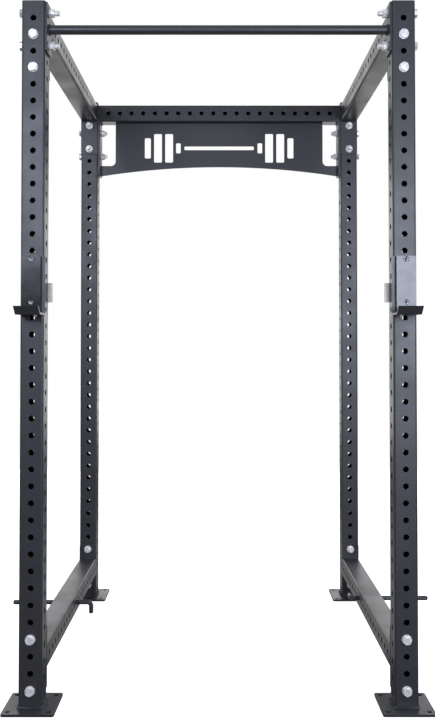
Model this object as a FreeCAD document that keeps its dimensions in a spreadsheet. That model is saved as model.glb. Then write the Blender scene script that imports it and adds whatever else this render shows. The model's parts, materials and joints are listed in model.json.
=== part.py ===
import FreeCAD, Part
import math
import os
import re
import Sketcher

# Power cage: four punched square uprights on bolt-down base plates, tied by two upper and two
# lower side beams, a rear crossbeam that carries an arched header plate, and a front pull-up bar.
# Two pivoting J-cups hang on the front uprights and two bent storage pins sit in the lower beams.
# Frame: +Z up, +X to the right, the lifter enters from -Y. The origin is on the floor, at the
# middle of the whole object's box. Units are millimetres.

SIZES = [
    ("frame_width", 1110, "upright centre to upright centre, across"),
    ("frame_depth", 1100, "upright centre to upright centre, front to back"),
    ("upright_length", 2100, "length of an upright tube"),
    ("tube_side", 70, "outer side of every square tube"),
    ("tube_wall", 3, "wall of every square tube"),
    ("tube_corner", 6, "outer corner radius of every square tube"),
    ("hole_dia", 18, "accessory and bolt holes in tubes and flanges"),
    ("hole_pitch", 50, "spacing of the holes along a tube"),
    ("front_hole_drop", 50, "top of an upright to its first front hole"),
    ("side_hole_drop", 25, "top of an upright to its first side hole"),
    ("hole_end_margin", 24, "least distance from a hole to the lower end of an upright"),
    ("beam_hole_margin", 30, "least distance from a hole to the end of a beam"),
    ("base_side", 155, "side of a square base plate"),
    ("base_thick", 8, "thickness of a base plate"),
    ("base_corner", 6, "corner radius of a base plate"),
    ("base_hole_dia", 14, "floor anchor holes"),
    ("base_hole_inset", 17.5, "plate edge to the centre of an anchor hole"),
    ("cap_thick", 3, "plastic cap above the tube end"),
    ("cap_plug", 12, "depth of the cap's plug inside the tube"),
    ("cap_gap", 0.3, "plug to tube wall"),
    ("beam_drop", 80, "top of an upright to the underside of the upper beams"),
    ("flange_thick", 6, "end plates of side beams and bar"),
    ("header_flange_thick", 10, "end plates of the rear crossbeam"),
    ("flange_corner", 6, "corner radius of the end plates"),
    ("upper_flange_margin", 22, "lowest bolt to the end of an upper side beam's end plate"),
    ("lower_flange_margin", 20, "bolts to the ends of a lower side beam's end plate"),
    ("bar_flange_margin", 25, "bolts to the ends of a pull-up bar's end plate"),
    ("bar_dia", 28, "pull-up bar"),
    ("bar_wall", 3, "wall of the pull-up bar"),
    ("header_thick", 4, "header plate"),
    ("header_arch", 40, "rise of the header plate's lower edge at the middle"),
    ("window_width", 63, "opening at each end of the header plate, beside the end plate"),
    ("window_drop", 40, "lower crossbeam bolts to the lower edge of that opening"),
    ("header_sill", 45, "header plate below that opening"),
    ("header_flange_margin", 2, "end plate of the rear crossbeam below the header plate"),
    ("window_corner", 20, "radius of that opening's lower inner corner"),
    ("motif_drop", 108, "crossbeam's underside to the middle of the barbell motif"),
    ("motif_corner", 5, "corner radius of the motif's slots"),
    ("bolt_play", 1, "frame bolt to its hole, on the radius"),
    ("bolt_flats", 24, "across the flats of bolt heads and nuts"),
    ("bolt_head_height", 10, "bolt head"),
    ("bolt_length", 110, "frame bolts, under the head"),
    ("nut_height", 13, "nut"),
    ("thread_gap", 0.1, "nut bore to bolt, on the radius"),
    ("washer_dia", 30, "outside of a washer"),
    ("washer_play", 0.5, "frame bolt to its washer, on the radius"),
    ("washer_thick", 3, "thickness of a washer"),
    ("cup_row", 15, "front hole that holds a J-cup's pin, counted from the top one as 0"),
    ("cup_gap", 0.5, "J-cup to upright"),
    ("cup_plate_thick", 6, "J-cup back plate and hook"),
    ("cup_outer", 32, "pin axis to the outer edge of the J-cup plate"),
    ("cup_rise", 33, "pin axis to the top of the J-cup plate"),
    ("cup_drop", 143, "pin axis to the underside of the hook"),
    ("hook_floor", 78, "upright face to the foot of the lip"),
    ("hook_reach", 104, "upright face to the tip of the lip"),
    ("lip_rise", 24, "underside of the hook to the top of the lip"),
    ("cheek_thick", 5, "side plate that stops the J-cup against the upright"),
    ("cheek_top", 45, "pin axis down to the top of the side plate"),
    ("cheek_bottom", 103, "pin axis down to the bottom of the side plate"),
    ("cheek_depth", 39, "upright face back to the end of the side plate"),
    ("tab_thick", 4, "flared tab at the end of the side plate"),
    ("tab_reach", 54, "pin axis to the tip of the tab"),
    ("pad_thick", 3, "ribbed pad on the tab"),
    ("pad_gap", 0.3, "ribbed pad to side plate"),
    ("rib_width", 1.6, "rib of that pad"),
    ("rib_rise", 1, "height of that rib"),
    ("liner_width", 58, "plastic front liner of a J-cup"),
    ("liner_thick", 13, "plastic front liner of a J-cup"),
    ("liner_corner", 3, "corner radius of the front liner"),
    ("cradle_thick", 6, "plastic cradle liner of a J-cup"),
    ("cup_pin_play", 0.5, "J-cup pin to its hole in the upright, on the radius"),
    ("cup_pin_reach", 55, "upright face to the inner end of that pin"),
    ("cup_pin_gap", 0.05, "pin to J-cup plate, on the radius"),
    ("cup_pin_tip", 3, "bevel at the inner end of that pin"),
    ("screw_dia", 8, "liner screws"),
    ("screw_head_dia", 13, "head of a liner screw"),
    ("screw_head_height", 7, "head of a liner screw"),
    ("screw_socket", 6, "across the flats of a screw's socket"),
    ("screw_socket_depth", 4, "depth of a screw's socket"),
    ("screw_gap", 0.2, "screw to its hole, on the radius"),
    ("counterbore_gap", 1.5, "head of a liner screw to its recess, on the radius"),
    ("counterbore_depth", 8, "depth of that recess"),
    ("upper_screw_rise", 23, "pin axis up to the upper liner screw"),
    ("lower_screw_drop", 105, "pin axis down to the lower liner screw"),
    ("cradle_screw_dia", 6, "screw that holds the cradle liner"),
    ("cradle_screw_head", 10, "head of that screw"),
    ("cradle_screw_rise", 5, "height of that head"),
    ("cradle_screw_grip", 10, "length of that screw above its head"),
    ("cradle_screw_side", 19, "pin axis to that screw, towards the cage's middle"),
    ("cradle_screw_reach", 45, "upright face to that screw"),
    ("rod_play", 1, "storage pin to its hole, on the radius"),
    ("rod_length", 292, "overall length of a storage pin"),
    ("rod_bend", 14, "bend radius of a storage pin, at its centre line"),
    ("rod_handle", 40, "centre line of a storage pin to the end of its handle"),
    ("rod_tip", 3, "bevel at the ends of a storage pin"),
    ("left_rod_hole", 10, "beam hole of the left pin, counted from the front one as 0"),
    ("right_rod_hole", 11, "beam hole of the right pin, counted from the front one as 0"),
    ("left_rod_overhang", 196, "left beam's centre line to the outer tip of its pin"),
    ("right_rod_overhang", 220, "right beam's centre line to the outer tip of its pin"),
]

# The motif is a barbell cut through the header plate: its shaft, then one half's slots, each as
# the slot's distance from the middle, its width and its height.
MOTIF_SHAFT = (0, 300, 16)
MOTIF_SLOTS = [(176, 20, 44), (216, 34, 124), (264, 34, 124), (308, 26, 88)]

NAMES = re.compile(r"\b(" + "|".join(row[0] for row in SIZES) + r")\b")
VECTOR = FreeCAD.Vector
ROTATION = FreeCAD.Rotation
ORIGIN = VECTOR(0, 0, 0)
X_AXIS = VECTOR(1, 0, 0)
Y_AXIS = VECTOR(0, 1, 0)
Z_AXIS = VECTOR(0, 0, 1)
UPRIGHT = ROTATION()

# Places that several sub-parts share, worked out from the sizes.
HALF_WIDTH = "(frame_width / 2)"
FRONT_Y = "(-(frame_depth + base_side / 2 - tube_side / 2 - hook_reach) / 2)"
REAR_Y = "(" + FRONT_Y + " + frame_depth)"
FRONT_FACE = "(" + FRONT_Y + " - tube_side / 2)"
MIDDLE_Y = "(" + FRONT_Y + " + frame_depth / 2)"
TOP = "(base_thick + upright_length)"
CLEAR_WIDTH = "(frame_width - tube_side)"
CLEAR_DEPTH = "(frame_depth - tube_side)"
BEAM_LENGTH = "(" + CLEAR_DEPTH + " - 2 * flange_thick)"
BAR_LENGTH = "(" + CLEAR_WIDTH + " - 2 * flange_thick)"
CROSSBEAM_LENGTH = "(" + CLEAR_WIDTH + " - 2 * header_flange_thick)"
BEAM_Z = "(" + TOP + " - beam_drop + tube_side / 2)"
LAST_ROW = "floor((upright_length - front_hole_drop - hole_end_margin) / hole_pitch)"
BOLT_DIA = "(hole_dia - 2 * bolt_play)"
CUP_PIN_DIA = "(hole_dia - 2 * cup_pin_play)"
ROD_DIA = "(hole_dia - 2 * rod_play)"

# Hole rows that hold bolts, counted from the top one as 0. The side beams use the uprights'
# front rows; the crossbeam and the pull-up bar use their side rows.
UPPER_ROWS = [1, 3]
LOWER_ROWS = [LAST_ROW + " - 3", LAST_ROW]
CROSSBEAM_ROWS = [2, 4]
BAR_ROWS = [0, 2]

doc = FreeCAD.newDocument("PowerCage")
sheet = doc.addObject("Spreadsheet::Sheet", "Sizes")
nodes = []


def fill_sheet():
    for index, (alias, size, note) in enumerate(SIZES, start=1):
        sheet.set("A%d" % index, alias)
        sheet.set("B%d" % index, str(size))
        sheet.set("C%d" % index, note)
        sheet.setAlias("B%d" % index, alias)
    doc.recompute()


# ---------------------------------------------------------------- general helpers


def bind(thing, prop, formula):
    thing.setExpression(prop, NAMES.sub(r"Sizes.\1", str(formula)))


def place(thing, x, y, z, rotation=UPRIGHT):
    thing.Placement = FreeCAD.Placement(ORIGIN, rotation)
    bind(thing, "Placement.Base.x", x)
    bind(thing, "Placement.Base.y", y)
    bind(thing, "Placement.Base.z", z)


def as_node(thing, label):
    thing.Label = label
    nodes.append(thing)
    return thing


def group(label, members):
    compound = doc.addObject("Part::Compound", label)
    compound.Links = members
    return as_node(compound, label)


def solid(kind, name, **sizes):
    thing = doc.addObject(kind, name)
    for prop, formula in sizes.items():
        bind(thing, prop, formula)
    return thing


def boolean(kind, name, base, tool):
    thing = doc.addObject(kind, name)
    thing.Base = base
    thing.Tool = tool
    return thing


def union(name, shapes):
    thing = doc.addObject("Part::MultiFuse", name)
    thing.Shapes = shapes
    return thing


def hole_row_z(row):
    return "(%s - front_hole_drop - (%s) * hole_pitch)" % (TOP, row)


def side_row_z(row):
    return "(%s - side_hole_drop - (%s) * hole_pitch)" % (TOP, row)


def window_height():
    return "(%s - tube_side / 2 - %s + window_drop)" % (BEAM_Z, side_row_z(CROSSBEAM_ROWS[-1]))


def header_height():
    return "(%s + header_sill)" % window_height()


# ---------------------------------------------------------------- sketches and features


def new_body(name):
    return doc.addObject("PartDesign::Body", name)


def new_sketch(body, name, role, lift="0"):
    sketch = body.newObject("Sketcher::SketchObject", name)
    plane = next(item for item in body.Origin.OriginFeatures if item.Role == role)
    sketch.AttachmentSupport = [(plane, "")]
    sketch.MapMode = "FlatFace"
    bind(sketch, "AttachmentOffset.Base.z", lift)
    return sketch


def fix_point(sketch, geometry, point, corner, start):
    """Ties a point of the sketch to two formulas, measured from the sketch's origin."""
    for kind, formula, guess in zip("XY", corner, start):
        label = "g%dp%d%s" % (geometry, point, kind)
        constraint = Sketcher.Constraint("Distance" + kind, -1, 1, geometry, point, guess)
        sketch.renameConstraint(sketch.addConstraint(constraint), label)
        bind(sketch, "Constraints." + label, formula)


def polygon(sketch, corners):
    """A closed outline: its corners start on a small circle and go where the formulas say."""
    count = len(corners)
    turn = 2 * math.pi / count
    start = []
    for index in range(count):
        angle = turn * (index + 0.5)
        start.append(VECTOR(10 * math.cos(angle), 10 * math.sin(angle), 0))
    lines = []
    for index in range(count):
        line = Part.LineSegment(start[index], start[(index + 1) % count])
        lines.append(sketch.addGeometry(line, False))
    for index in range(count):
        follower = lines[(index + 1) % count]
        sketch.addConstraint(Sketcher.Constraint("Coincident", lines[index], 2, follower, 1))
    for line, corner, guess in zip(lines, corners, start):
        fix_point(sketch, line, 1, corner, guess)


def rectangle(sketch, low_u, high_u, low_v, high_v):
    polygon(sketch, [(low_u, low_v), (high_u, low_v), (high_u, high_v), (low_u, high_v)])


def centred_rectangle(sketch, width, height):
    half_width = "(%s) / 2" % width
    half_height = "(%s) / 2" % height
    rectangle(sketch, "-" + half_width, half_width, "-" + half_height, half_height)


def circle(sketch, u, v, diameter):
    guess = VECTOR(1, 1, 0)
    ring = sketch.addGeometry(Part.Circle(guess, Z_AXIS, 1), False)
    fix_point(sketch, ring, 3, (u, v), guess)
    size = sketch.addConstraint(Sketcher.Constraint("Diameter", ring, 2))
    sketch.renameConstraint(size, "size%d" % ring)
    bind(sketch, "Constraints.size%d" % ring, diameter)


def pad(body, name, sketch, length, reverse=False):
    feature = body.newObject("PartDesign::Pad", name)
    feature.Profile = sketch
    feature.Reversed = reverse
    bind(feature, "Length", length)
    return feature


def pocket(body, name, sketch, depth=None, reverse=False):
    """Cuts to a depth, or both ways through the whole body when no depth is given."""
    feature = body.newObject("PartDesign::Pocket", name)
    feature.Profile = sketch
    if depth is None:
        feature.Type = "ThroughAll"
        feature.Midplane = True
    else:
        feature.Reversed = reverse
        bind(feature, "Length", depth)
    return feature


def row_of(body, name, feature, sketch, axis, length, count):
    pattern = body.newObject("PartDesign::LinearPattern", name)
    pattern.Originals = [feature]
    pattern.Direction = (sketch, [axis])
    bind(pattern, "Length", length)
    bind(pattern, "Occurrences", count)
    body.Tip = pattern
    return pattern


def round_edges(body, name, feature, direction, radius, wanted=None):
    """Rounds the straight edges that run along a direction."""
    doc.recompute()
    chosen = []
    for index, edge in enumerate(feature.Shape.Edges, start=1):
        if edge.Curve.TypeId != "Part::GeomLine":
            continue
        if abs(edge.tangentAt(edge.FirstParameter).dot(direction)) < 0.999:
            continue
        if wanted is None or wanted(edge):
            chosen.append("Edge%d" % index)
    fillet = body.newObject("PartDesign::Fillet", name)
    fillet.Base = (feature, chosen)
    bind(fillet, "Radius", radius)
    return fillet


# ---------------------------------------------------------------- tubes


def square_tube(body, length):
    """A rounded square tube that stands on the body's own XY plane."""
    outer = new_sketch(body, "outer", "XY_Plane")
    centred_rectangle(outer, "tube_side", "tube_side")
    bar = pad(body, "bar", outer, length)
    outside = round_edges(body, "outside", bar, Z_AXIS, "tube_corner")
    inner = new_sketch(body, "inner", "XY_Plane")
    centred_rectangle(inner, "tube_side - 2 * tube_wall", "tube_side - 2 * tube_wall")
    bore = pocket(body, "bore", inner)
    doc.recompute()
    reach = sheet.tube_side / 2 - sheet.tube_wall + 0.01
    inside = round_edges(
        body,
        "inside",
        bore,
        Z_AXIS,
        "tube_corner - tube_wall",
        lambda edge: max(abs(edge.CenterOfMass.x), abs(edge.CenterOfMass.y)) < reach,
    )
    return outside, inside


def hole_row(body, name, role, first, count):
    """Holes through both walls, one pitch apart, going up from the first."""
    sketch = new_sketch(body, name + "_sketch", role)
    circle(sketch, "0", first, "hole_dia")
    hole = pocket(body, name + "_hole", sketch)
    row_of(body, name, hole, sketch, "V_Axis", "hole_pitch * (%s - 1)" % count, count)


def upright(label, x, y):
    body = new_body(label)
    square_tube(body, "upright_length")
    for name, role, drop in [
        ("front_row", "XZ_Plane", "front_hole_drop"),
        ("side_row", "YZ_Plane", "side_hole_drop"),
    ]:
        rows = "floor((upright_length - %s - hole_end_margin) / hole_pitch)" % drop
        first = "upright_length - %s - hole_pitch * %s" % (drop, rows)
        hole_row(body, name, role, first, "(%s + 1)" % rows)
    place(body, x, y, "base_thick")
    return as_node(body, label)


def beam(label, length, role, x, y, z, rotation):
    """A tube with one row of holes, spread evenly about its middle."""
    body = new_body(label)
    square_tube(body, length)
    steps = "floor((%s - 2 * beam_hole_margin) / hole_pitch)" % length
    first = "(%s - hole_pitch * %s) / 2" % (length, steps)
    hole_row(body, "holes", role, first, "(%s + 1)" % steps)
    place(body, x, y, z, rotation)
    return as_node(body, label)


# ---------------------------------------------------------------- plates


def plate(name, role, width, height, thick, corner, holes):
    """A rounded plate drawn about the plane's own origin, with round holes (u, v, diameter)."""
    body = new_body(name)
    outline = new_sketch(body, "outline", role)
    centred_rectangle(outline, width, height)
    slab = pad(body, "slab", outline, thick)
    normal = {"XY_Plane": Z_AXIS, "XZ_Plane": Y_AXIS, "YZ_Plane": X_AXIS}[role]
    round_edges(body, "corners", slab, normal, corner)
    drill = new_sketch(body, "drill", role)
    for u, v, diameter in holes:
        circle(drill, u, v, diameter)
    pocket(body, "holes", drill)
    return body


def base_plate(label, x, y):
    reach = "(base_side / 2 - base_hole_inset)"
    holes = []
    for across in "-+":
        for along in "-+":
            holes.append((across + reach, along + reach, "base_hole_dia"))
    body = plate(label, "XY_Plane", "base_side", "base_side", "base_thick", "base_corner", holes)
    place(body, x, y, "0")
    return as_node(body, label)


def cap(label, x, y):
    """A plastic cap with a hollow-ended plug that presses into the tube."""
    body = new_body(label)
    top = new_sketch(body, "top", "XY_Plane")
    centred_rectangle(top, "tube_side", "tube_side")
    lid = pad(body, "lid", top, "cap_thick")
    round_edges(body, "corners", lid, Z_AXIS, "tube_corner")
    plug_side = "tube_side - 2 * tube_wall - 2 * cap_gap"
    root = new_sketch(body, "root", "XY_Plane")
    centred_rectangle(root, plug_side, plug_side)
    plug = pad(body, "plug", root, "cap_plug", reverse=True)
    doc.recompute()
    round_edges(
        body,
        "plug_corners",
        plug,
        Z_AXIS,
        "tube_corner - tube_wall",
        lambda edge: edge.CenterOfMass.z < 0,
    )
    place(body, x, y, TOP)
    return as_node(body, label)


def flange_pair(label, role, height, thick, centre_z, ends, bolt_heights):
    """The two end plates of one beam. Each end is the (x, y) of the face that the plate grows
    from, along its plane's normal, and a bolt height is measured from the floor."""
    holes = []
    for bolt_height in bolt_heights:
        holes.append(("0", "%s - %s" % (bolt_height, centre_z), "hole_dia"))
    plates = []
    for index, (x, y) in enumerate(ends, start=1):
        name = "%s_%d" % (label, index)
        body = plate(name, role, "tube_side", height, thick, "flange_corner", holes)
        place(body, x, y, centre_z)
        plates.append(body)
    return group(label, plates)


def header_plate(label):
    """The arched plate under the rear crossbeam, with its end openings and barbell motif."""
    body = new_body(label)
    half = "(%s / 2)" % CROSSBEAM_LENGTH
    outline = new_sketch(body, "outline", "XZ_Plane", "-header_thick / 2")
    rectangle(outline, "-" + half, half, "-" + header_height(), "0")
    slab = pad(body, "slab", outline, "header_thick")
    arch_radius = "((%s ^ 2 + header_arch ^ 2) / (2 * header_arch))" % half
    arch = new_sketch(body, "arch", "XZ_Plane")
    low = "header_arch - %s - %s" % (header_height(), arch_radius)
    circle(arch, "0", low, "2 * " + arch_radius)
    pocket(body, "arch_cut", arch)
    ends = new_sketch(body, "ends", "XZ_Plane")
    for side in "-+":
        outer = "%s(%s + 1)" % (side, half)
        inner = "%s(%s - window_width)" % (side, half)
        rectangle(ends, outer, inner, "-" + window_height(), "1")
    windows = pocket(body, "windows", ends)
    inner_reach = (sheet.frame_width - sheet.tube_side - sheet.window_width) / 2
    inner_reach -= sheet.header_flange_thick
    round_edges(
        body,
        "window_corners",
        windows,
        Y_AXIS,
        "window_corner",
        lambda edge: abs(edge.CenterOfMass.x) < inner_reach and edge.CenterOfMass.z < -1,
    )
    motif = new_sketch(body, "motif", "XZ_Plane")
    slots = [MOTIF_SHAFT]
    for offset, width, height in MOTIF_SLOTS:
        slots.append((offset, width, height))
        slots.append((-offset, width, height))
    for offset, width, height in slots:
        middle = "-motif_drop"
        rectangle(
            motif,
            offset - width / 2,
            offset + width / 2,
            "%s - %s / 2" % (middle, height),
            "%s + %s / 2" % (middle, height),
        )
    cut = pocket(body, "motif_cut", motif)
    motif_reach = max(row[0] + row[1] for row in MOTIF_SLOTS)
    round_edges(
        body,
        "motif_corners",
        cut,
        Y_AXIS,
        "motif_corner",
        lambda edge: abs(edge.CenterOfMass.x) < motif_reach,
    )
    place(body, "0", REAR_Y, "%s - tube_side / 2" % BEAM_Z)
    return as_node(body, label)


# ---------------------------------------------------------------- round bars


def pull_up_bar(label):
    outer = solid("Part::Cylinder", "bar_outside", Radius="bar_dia / 2", Height=BAR_LENGTH)
    inner = solid("Part::Cylinder", "bar_inside", Radius="bar_dia / 2 - bar_wall")
    bind(inner, "Height", BAR_LENGTH)
    bar = boolean("Part::Cut", label, outer, inner)
    place(bar, "-%s / 2" % BAR_LENGTH, FRONT_Y, side_row_z(1), ROTATION(Y_AXIS, 90))
    return as_node(bar, label)


def bevelled_rod(name, length, diameter, tip):
    """A rod along +Z from the origin, with a bevel at its far end."""
    shank = solid("Part::Cylinder", name + "_shank", Radius="%s / 2" % diameter)
    bind(shank, "Height", "%s - %s" % (length, tip))
    point = solid("Part::Cone", name + "_point", Radius1="%s / 2" % diameter, Height=tip)
    bind(point, "Radius2", "%s / 2 - %s" % (diameter, tip))
    place(point, "0", "0", "%s - %s" % (length, tip))
    return union(name, [shank, point])


def storage_pin(label, x, hole, rotation):
    """A bent pin: its outer tip at the origin, its rod along +X and its handle down."""
    straight = "(rod_length - %s / 2 - rod_bend)" % ROD_DIA
    rod = bevelled_rod(label + "_rod", straight, ROD_DIA, "rod_tip")
    place(rod, straight, "0", "0", ROTATION(Y_AXIS, -90))
    bend = solid("Part::Torus", label + "_bend", Radius1="rod_bend", Radius2=ROD_DIA + " / 2")
    bend.Angle3 = 90
    place(bend, straight, "0", "-rod_bend", ROTATION(X_AXIS, 90))
    handle = bevelled_rod(label + "_handle", "rod_handle - rod_bend", ROD_DIA, "rod_tip")
    place(handle, straight + " + rod_bend", "0", "-rod_bend", ROTATION(X_AXIS, 180))
    pin = union(label, [rod, bend, handle])
    steps = "floor((%s - 2 * beam_hole_margin) / hole_pitch)" % BEAM_LENGTH
    y = "%s + (%s - %s / 2) * hole_pitch" % (MIDDLE_Y, hole, steps)
    place(pin, x, y, hole_row_z(LAST_ROW + " - 1.5"), rotation)
    return as_node(pin, label)


# ---------------------------------------------------------------- bolts, washers and nuts


def fastener_patterns():
    """One bolt, one washer and one nut, each standing on the plane that it bears on."""
    corner = "bolt_flats / 2 / cos(30)"
    head = solid("Part::Prism", "hex_head", Circumradius=corner, Height="bolt_head_height")
    shank = solid("Part::Cylinder", "bolt_shank", Radius=BOLT_DIA + " / 2", Height="bolt_length")
    place(shank, "0", "0", "-bolt_length")
    disc = solid("Part::Cylinder", "washer_disc", Radius="washer_dia / 2", Height="washer_thick")
    eye = solid("Part::Cylinder", "washer_eye", Height="washer_thick")
    bind(eye, "Radius", "%s / 2 + washer_play" % BOLT_DIA)
    block = solid("Part::Prism", "hex_nut", Circumradius=corner, Height="nut_height")
    thread = solid("Part::Cylinder", "nut_thread", Height="nut_height")
    bind(thread, "Radius", "%s / 2 + thread_gap" % BOLT_DIA)
    return {
        "bolts": ("Part::Fuse", head, shank),
        "washers": ("Part::Cut", disc, eye),
        "nuts": ("Part::Cut", block, thread),
    }


def fasten(name, patterns, thick, spots):
    """Bolts a flange of some thickness to a tube at each spot: the hole's middle and the way
    the head points."""
    members = {"bolts": [], "washers": [], "nuts": []}
    seats = [
        ("bolts", 1, "(tube_side / 2 + washer_thick)"),
        ("washers", 1, "(tube_side / 2)"),
        ("washers", -1, "(tube_side / 2 + %s)" % thick),
        ("nuts", -1, "(tube_side / 2 + %s + washer_thick)" % thick),
    ]
    for x, y, z, head_way in spots:
        for part, sign, distance in seats:
            kind, base, tool = patterns[part]
            way = head_way * sign
            piece = boolean(kind, "%s_%s_1" % (name, part), base, tool)
            place(
                piece,
                "%s + %d * %s" % (x, way.x, distance),
                "%s + %d * %s" % (y, way.y, distance),
                z,
                ROTATION(Z_AXIS, way),
            )
            members[part].append(piece)
    for part, pieces in members.items():
        group("%s_%s" % (name, part), pieces)


# ---------------------------------------------------------------- J-cups


class Cup:
    """The pieces of one J-cup. They are drawn with the pin's axis on the upright's front face
    as their origin, and inward is the way to the cage's middle: +1 for +X or -1 for -X."""

    def __init__(self, side, inward):
        self.side = side
        self.inward = inward

    def name(self, piece):
        return "jcup_%s_%s" % (self.side, piece)

    def across(self, distance):
        return "(%d * (%s))" % (self.inward, distance)

    def settle(self, thing, piece, forward="0", rotation=UPRIGHT):
        x = "%d * %s" % (-self.inward, HALF_WIDTH)
        place(thing, x, "%s - %s" % (FRONT_FACE, forward), hole_row_z("cup_row"), rotation)
        return as_node(thing, self.name(piece))

    def slab(self, body, name, corners, near, far):
        """An outline in the side view, padded from near to far along the inward way."""
        low = near if self.inward > 0 else "-(%s)" % far
        sketch = new_sketch(body, name + "_sketch", "YZ_Plane", low)
        polygon(sketch, corners)
        return pad(body, name, sketch, "(%s) - (%s)" % (far, near))


def box_outline(back, front, low, high):
    return [(back, low), (front, low), (front, high), (back, high)]


def lip_line(offset, height):
    """Distance from the upright to the lip's slope, moved inwards by a thickness, at a height
    above the hook's underside."""
    run = "(hook_reach - hook_floor)"
    slant = "sqrt(%s ^ 2 + lip_rise ^ 2)" % run
    shift = "(%s) * %s / lip_rise" % (offset, slant)
    return "-(hook_floor + (%s) * %s / lip_rise - %s)" % (height, run, shift)


def cup_bracket(cup):
    """Back plate and hook from one bent plate, with the side plate and its flared tab."""
    body = new_body(cup.name("bracket"))
    plate_back = "-cup_gap"
    plate_front = "-(cup_gap + cup_plate_thick)"
    inner_edge = "tube_side / 2 + cup_gap + cheek_thick"
    thick = "cup_plate_thick"
    profile = [
        (plate_back, "cup_rise"),
        (plate_back, "-cup_drop"),
        ("-hook_floor", "-cup_drop"),
        ("-hook_reach", "lip_rise - cup_drop"),
        (lip_line(thick, "lip_rise"), "lip_rise - cup_drop"),
        (lip_line(thick, thick), "cup_plate_thick - cup_drop"),
        (plate_front, "cup_plate_thick - cup_drop"),
        (plate_front, "cup_rise"),
    ]
    cup.slab(body, "hook", profile, "-cup_outer", inner_edge)
    cheek = box_outline(plate_front, "cheek_depth", "-cheek_bottom", "-cheek_top")
    cup.slab(body, "cheek", cheek, "tube_side / 2 + cup_gap", inner_edge)
    tab = box_outline("cheek_depth - tab_thick", "cheek_depth", "-cheek_bottom", "-cheek_top")
    cup.slab(body, "tab", tab, "tube_side / 2 + cup_gap", "tab_reach")
    drill = new_sketch(body, "drill", "XZ_Plane")
    circle(drill, "0", "0", CUP_PIN_DIA + " + 2 * cup_pin_gap")
    for height in ["upper_screw_rise", "-lower_screw_drop"]:
        circle(drill, "0", height, "screw_dia + 2 * screw_gap")
    pocket(body, "pin_and_screw_holes", drill)
    upwards = new_sketch(body, "upwards", "XY_Plane")
    screw_x = cup.across("cradle_screw_side")
    circle(upwards, screw_x, "-cradle_screw_reach", "cradle_screw_dia + 2 * screw_gap")
    pocket(body, "cradle_screw_hole", upwards)
    return cup.settle(body, "bracket")


def cup_pin(cup):
    """The pin: it fills the back plate's hole and runs on into the upright."""
    forward = "(cup_gap + cup_plate_thick)"
    length = "(%s + cup_pin_reach)" % forward
    pin = bevelled_rod(cup.name("pin"), length, CUP_PIN_DIA, "cup_pin_tip")
    return cup.settle(pin, "pin", forward, ROTATION(X_AXIS, -90))


def cup_front_liner(cup):
    body = new_body(cup.name("front_liner"))
    low = "(cup_plate_thick + cradle_thick - cup_drop)"
    half = "liner_width / 2"
    outline = new_sketch(body, "outline", "XZ_Plane", "cup_gap + cup_plate_thick")
    rectangle(outline, "-" + half, half, low, "cup_rise")
    slab = pad(body, "slab", outline, "liner_thick")
    round_edges(body, "corners", slab, Y_AXIS, "liner_corner")
    front = "cup_gap + cup_plate_thick + liner_thick"
    recess = new_sketch(body, "recess", "XZ_Plane", front)
    drill = new_sketch(body, "drill", "XZ_Plane")
    for height in ["upper_screw_rise", "-lower_screw_drop"]:
        circle(recess, "0", height, "screw_head_dia + 2 * counterbore_gap")
        circle(drill, "0", height, "screw_dia + 2 * screw_gap")
    pocket(body, "counterbores", recess, "counterbore_depth")
    pocket(body, "screw_holes", drill)
    return cup.settle(body, "front_liner")


def cup_cradle_liner(cup):
    """The plastic floor and lip that the bar rests on, inside the steel hook."""
    body = new_body(cup.name("cradle_liner"))
    back = "-(cup_gap + cup_plate_thick)"
    steel = "cup_plate_thick"
    plastic = "(cup_plate_thick + cradle_thick)"
    profile = [
        (back, "%s - cup_drop" % steel),
        (lip_line(steel, steel), "%s - cup_drop" % steel),
        (lip_line(steel, "lip_rise"), "lip_rise - cup_drop"),
        (lip_line(plastic, "lip_rise"), "lip_rise - cup_drop"),
        (lip_line(plastic, plastic), "%s - cup_drop" % plastic),
        (back, "%s - cup_drop" % plastic),
    ]
    cup.slab(body, "floor", profile, "-liner_width / 2", "liner_width / 2")
    bottom = new_sketch(body, "bottom", "XY_Plane", "%s - cup_drop" % steel)
    screw_x = cup.across("cradle_screw_side")
    circle(bottom, screw_x, "-cradle_screw_reach", "cradle_screw_dia + 2 * screw_gap")
    depth = "cradle_screw_grip - cup_plate_thick + screw_gap"
    pocket(body, "screw_hole", bottom, depth, reverse=True)
    return cup.settle(body, "cradle_liner")


def cup_guide_pad(cup):
    """The ribbed pad on the front of the tab."""
    body = new_body(cup.name("guide_pad"))
    near = "(tube_side / 2 + cup_gap + cheek_thick + pad_gap)"
    back = "(cheek_depth - tab_thick)"
    front = "(%s - pad_thick)" % back
    sole = box_outline(front, back, "-cheek_bottom", "-cheek_top")
    cup.slab(body, "sole", sole, near, "tab_reach")
    ridge = box_outline("%s - rib_rise" % front, front, "-cheek_bottom", "-cheek_top")
    gap = "((tab_reach - %s - rib_width) / 3)" % near
    for index in range(4):
        start = "%s + %d * %s" % (near, index, gap)
        cup.slab(body, "rib%d" % index, ridge, start, start + " + rib_width")
    return cup.settle(body, "guide_pad")


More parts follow.
